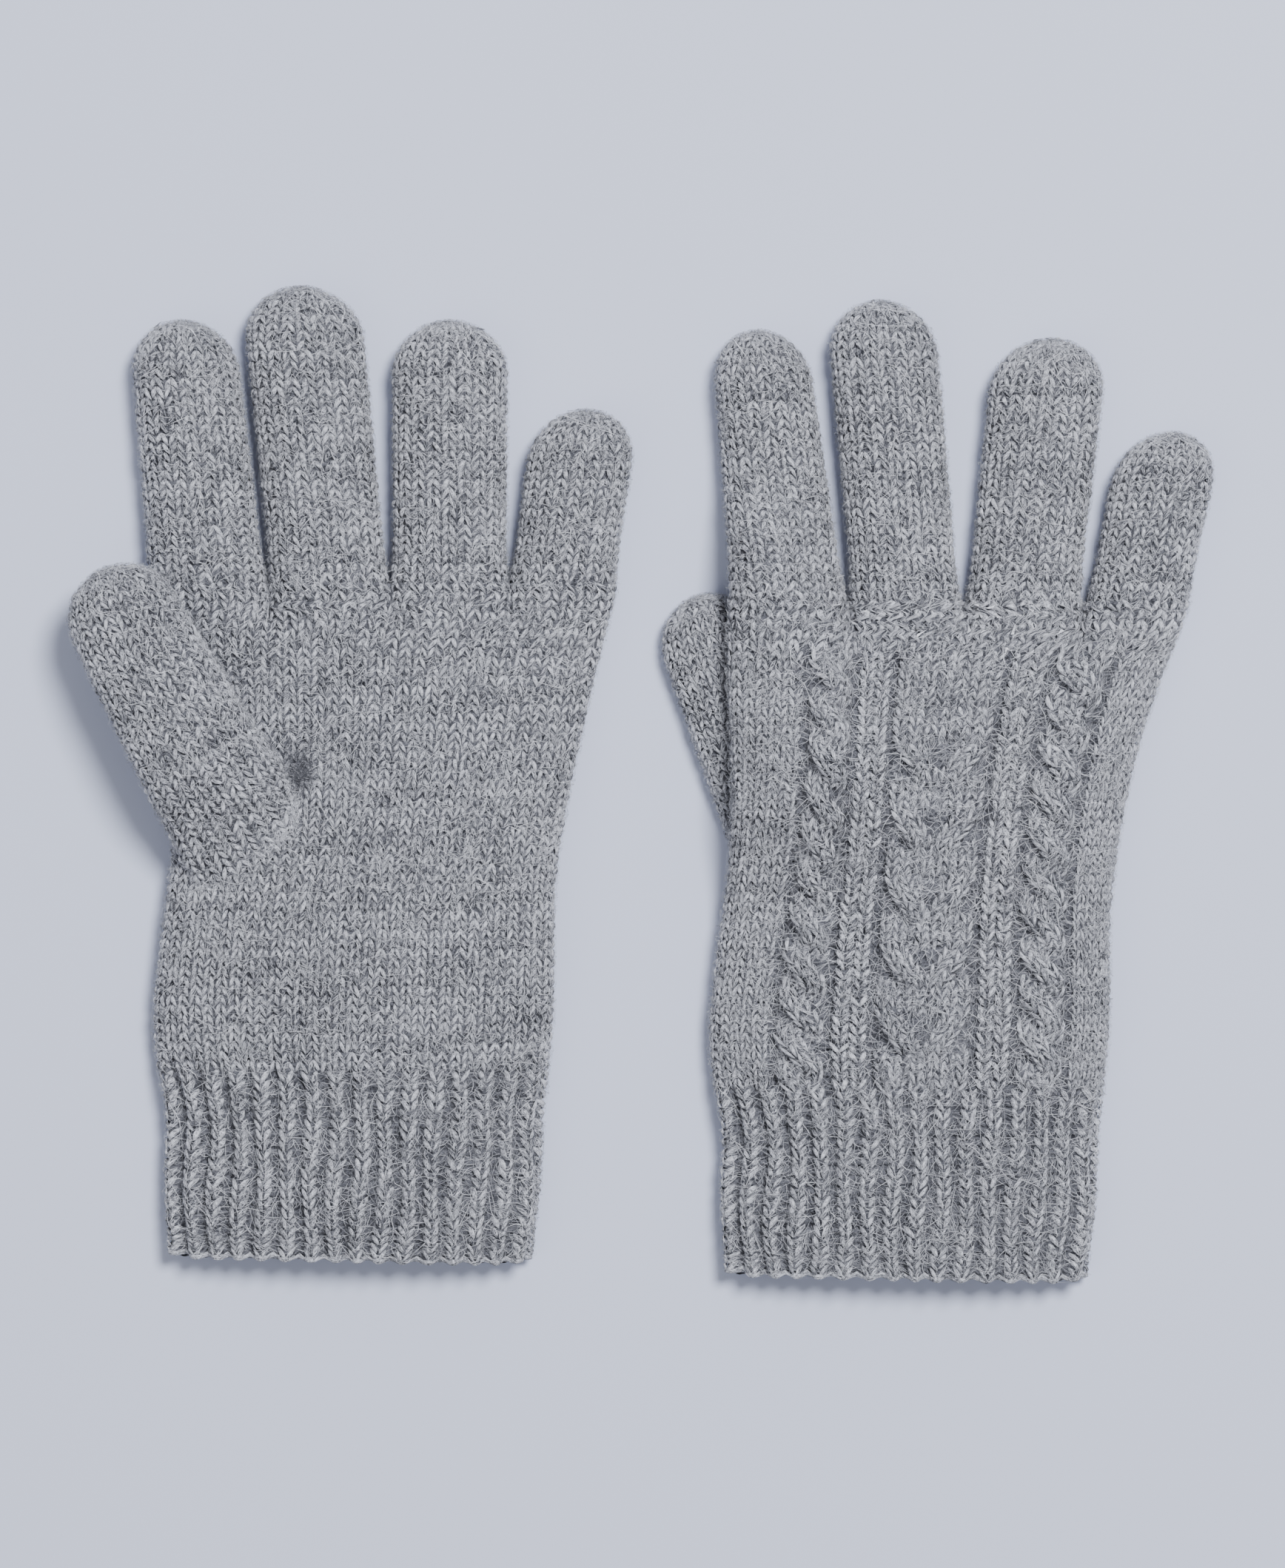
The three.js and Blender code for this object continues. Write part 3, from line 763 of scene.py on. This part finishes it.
def tube_cloth(d, into, x, y, half_foot, half_tip, full, floor, lean):
    """Sections along a tube that narrow round the tip, where t runs from 0 to 1: half width by
    sqrt(1 - t^2.2), thickness by sqrt(1 - t^2.6)."""
    half = half_foot + (half_tip - half_foot) * np.clip(d / (d[-1] - TIP), 0, 1) - SLIM * smooth(0, 12, d)
    half = half * np.sqrt(np.maximum(1 - into**2.2, 1e-4))
    thick = full * np.sqrt(np.maximum(1 - into**2.6, 1e-3))
    angles = np.linspace(1.5 * np.pi, -0.5 * np.pi, 181)
    return sections(x, y, half, floor + (full - thick) * TIP_UP, thick, lean, angles)


def finger_cloth(glove, name):
    """A whole finger from its foot to its tip, draped over the tucked thumb."""
    foot, half_foot, half_tip, lean, length, _ = FINGERS[glove][name]
    d, into = tube_rows(length, -RUN_ON)
    x = foot + d * math.tan(math.radians(lean))
    grid = tube_cloth(d, into, x, KNUCKLE + d, half_foot, half_tip, FINGER_THICK, 0, 0)
    return placed(glove, d, drape(glove, grid))


def placed(glove, d, grid):
    """The tube's cloth in its place, with its lengths counted from d = 0."""
    grid[..., :2] += HEM[glove]
    cloth = Cloth(grid, closed=True)
    cloth.length = cloth.length - np.interp(0, d, cloth.length)
    cloth.along = lambda at: np.interp(at, d, cloth.length)
    return cloth


def tube(name, cloth, wales, low, high):
    """The yarn and the fibres of a plain knit tube from low to high, mm along its axis, with half as many
    stitches wherever they would be narrower than NARROW."""
    start, end, total = cloth.along(low), cloth.along(high), cloth.length[-1]
    knit, fuzz = Fabric(f"{name}_knit"), Fabric(f"{name}_fuzz")
    tall = total / round(total / COURSE)
    for s in np.arange(math.floor(start / tall) + 0.5, total / tall) * tall:
        if start <= s < end and cloth.around(s) > LEAST * WALE:
            count = wales
            while cloth.around(s) / count < NARROW * WALE and count > 4:
                count = (count + 1) // 2
            shares = (np.arange(count) + 0.5) / count
            knit.stitches(cloth, KNIT, shares, np.full(count, s), 1 / count, tall)
    for h in (BACKING, -WALL):
        knit.backing(cloth, np.linspace(0, 1, 2 * wales + 1), np.linspace(start, end, 30), h, wide=1 / wales)
    fuzz.fibres(cloth, 1.0, start, end)
    return knit.mesh([YARN, YARN_IN_SHADE, INSIDE_IN_SHADE]), fuzz.mesh([FUZZ])


for glove in ("left", "right"):
    for name, (_, _, _, _, length, joint) in FINGERS[glove].items():
        cloth = finger_cloth(glove, name)
        for part, low, high, turn in (("base", 0, joint, "knuckle"), ("tip", joint, length, "bend")):
            pieces = tube(f"{glove}_{name}_{part}", cloth, TUBE_WALES, low, high)
            hinge = JOINT[f"{glove}_{name}_{turn}"]
            start = np.array(hinge["pos_m"])
            fasten(pieces, f"{glove}_{name}_{part}", "plain_knit", hinge["parent"], hinge["child"],
                   start=start, end=start + (0, BEND * MM, 0))

# ---------------------------------------------------------------------------------------------
# Thumbs: the same tube, of 20 wales, rising out of the palm. The left one lies across the palm,
# and the right one is flat on the surface, under the hand.
# ---------------------------------------------------------------------------------------------
THUMB_WALES = 20
THUMB_THICK = {"left": 12, "right": 9.6}  # mm
LYING = 16.6   # how high the underside of the left thumb is over the surface, mm
ROOT_LOW = 13  # how much lower it is at the root, mm
TIP_LOW = 4    # and at the tip, mm
ROOT_MORE = 5  # how much further the stretch given to fasten reaches at a thumb's root, mm
left_length, left_bend = THUMBS["left"][4:]
right_length = THUMBS["right"][4]
# each length of a thumb, with where it starts and ends and the joint at its start
THUMB_PARTS = {
    "left": (("base", -6, left_bend, "left_thumb_knuckle"),
             ("tip", left_bend, left_length, "left_thumb_bend")),
    "right": (("", -2, right_length, "right_thumb_swing"),),
}


def thumb_cloth(glove, low):
    """A whole thumb, from low mm along its axis. The left one rises out of the palm and dips to its tip."""
    (fx, fy), half_foot, half_tip, lean, length, _ = THUMBS[glove]
    lean = math.radians(lean)
    d, into = tube_rows(length, low)
    full, floor = THUMB_THICK[glove], 0
    if glove == "left":
        floor = LYING - ROOT_LOW * (1 - smooth(-8, 26, d)) - TIP_LOW * smooth(44, length, d)
    x, y = fx + d * math.sin(lean), fy + d * math.cos(lean)
    return placed(glove, d, tube_cloth(d, into, x, y, half_foot, half_tip, full, floor, lean))


for glove, parts in THUMB_PARTS.items():
    cloth = thumb_cloth(glove, parts[0][1] - RUN_ON)
    lean = math.radians(THUMBS[glove][3])
    for part, low, high, turn in parts:
        node = f"{glove}_thumb_{part}".rstrip("_")
        pieces = tube(node, cloth, THUMB_WALES, low, high)
        hinge = JOINT[turn]
        start = np.array(hinge["pos_m"])
        turning = BEND + ROOT_MORE * (low < 0)
        ahead = np.array([math.sin(lean), math.cos(lean), 0]) * turning * MM
        fasten(pieces, node, "plain_knit", hinge["parent"], hinge["child"], start=start, end=start + ahead)

# ---------------------------------------------------------------------------------------------
# The table top, the light and the camera: a pale matt board seen from straight above, with a
# large soft window beyond the right hand corner and a weak fill from the other side.
# ---------------------------------------------------------------------------------------------
REACH = 3  # half the side of the board, m
BOARD = (0.70, 0.745, 0.93, 1)
ROOM = (0.97, 0.975, 1.0, 1)
LAMP = (0.96, 0.98, 1.0)
# where each lamp is and how wide, m, and its power, W
LAMPS = {"window": ((0.58, 0.70, 1.95), 0.7, 60), "fill": ((-1.2, -0.8, 1.6), 1.6, 5)}

board_mesh = bpy.data.meshes.new("board")
corners = [(-REACH, -REACH, 0), (REACH, -REACH, 0), (REACH, REACH, 0), (-REACH, REACH, 0)]
board_mesh.from_pydata(corners, [], [(0, 1, 2, 3)])
board = bpy.data.objects.new("board", board_mesh)
bpy.context.scene.collection.objects.link(board)
pale = bpy.data.materials.new("pale board")
pale.use_nodes = True
shader = pale.node_tree.nodes["Principled BSDF"]
shader.inputs["Base Color"].default_value = BOARD
shader.inputs["Roughness"].default_value = 0.9
shader.inputs["Specular IOR Level"].default_value = 0.1
board_mesh.materials.append(pale)

room = bpy.data.worlds.new("soft room")
bpy.context.scene.world = room
room.use_nodes = True
sky = room.node_tree.nodes["Background"]
sky.inputs["Color"].default_value = ROOM
sky.inputs["Strength"].default_value = 0.36

for name, (place, size, power) in LAMPS.items():
    lamp = bpy.data.lights.new(name, "AREA")
    lamp.shape = "DISK"
    lamp.size = size
    lamp.energy = power
    lamp.color = LAMP
    light = bpy.data.objects.new(name, lamp)
    light.location = place
    light.rotation_mode = "QUATERNION"
    light.rotation_quaternion = Vector(place).to_track_quat("Z", "Y")
    bpy.context.scene.collection.objects.link(light)

lens = bpy.data.cameras.new("camera")
lens.sensor_width = 36
lens.lens = 155
lens.clip_end = 100
camera = bpy.data.objects.new("camera", lens)
camera.location = (0.0, 0.0005, 1.6)
bpy.context.scene.collection.objects.link(camera)
bpy.context.scene.camera = camera
